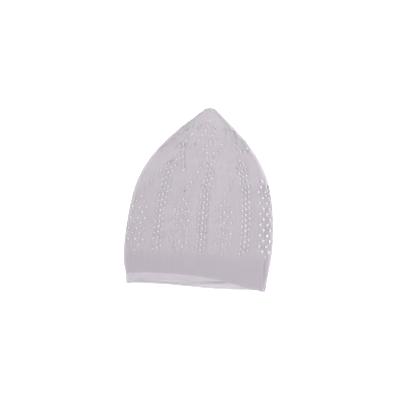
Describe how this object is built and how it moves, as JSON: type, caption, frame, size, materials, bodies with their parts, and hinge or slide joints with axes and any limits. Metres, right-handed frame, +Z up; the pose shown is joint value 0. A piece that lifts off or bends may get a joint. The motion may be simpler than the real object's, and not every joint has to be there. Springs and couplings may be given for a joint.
{
  "type": "openwork knitted skullcap",
  "caption": "Tall pointed skullcap of soft openwork knitting with a plain turned hem, lying flat on its far layer with its opening toward the front.",
  "frame": {"origin": "on the surface that the cap lies on, under the middle of its bounding box", "axes": "+X across the cap, +Y from the head opening to the tip, +Z up off the surface, out of the near layer"},
  "size_m": [0.1874, 0.229, 0.02],
  "materials": {
    "knit": "matte soft knitting in white yarn with a faint lilac cast",
    "hem_knit": "matte doubled knitting in the same yarn"
  },
  "bodies": {
    "root": {"crown": "knit", "hem_band": "hem_knit"}
  },
  "joints": []
}
